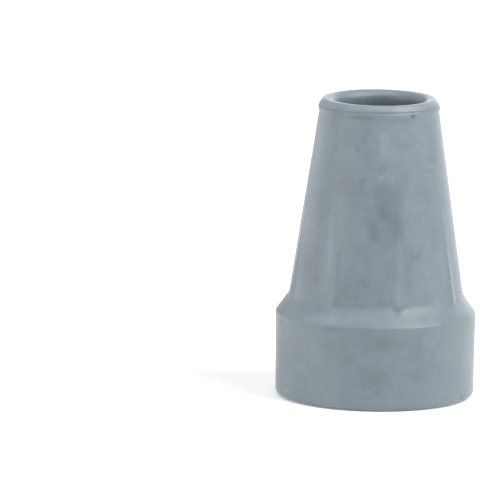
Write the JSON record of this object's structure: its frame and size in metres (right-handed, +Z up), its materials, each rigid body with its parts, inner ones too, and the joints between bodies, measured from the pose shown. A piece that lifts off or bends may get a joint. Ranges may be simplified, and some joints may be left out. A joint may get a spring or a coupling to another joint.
{
  "type": "rubber cane tip",
  "caption": "Moulded rubber foot for a walking cane: a ringed, dished tread under a wide foot, and a ribbed tapering sleeve with a rolled lip round a deep bore for the tube.",
  "frame": {"origin": "centre of the flat ring that stands on the floor", "axes": "+Z up along the bore, out of its mouth; -Y is the front; the ribs stand at 15, 60, 105 and so on degrees from the front towards +X"},
  "size_m": [0.043, 0.043, 0.0647],
  "materials": {
    "grey_rubber": "matte"
  },
  "bodies": {
    "root": {"rubber_tip": "grey_rubber"}
  },
  "joints": []
}
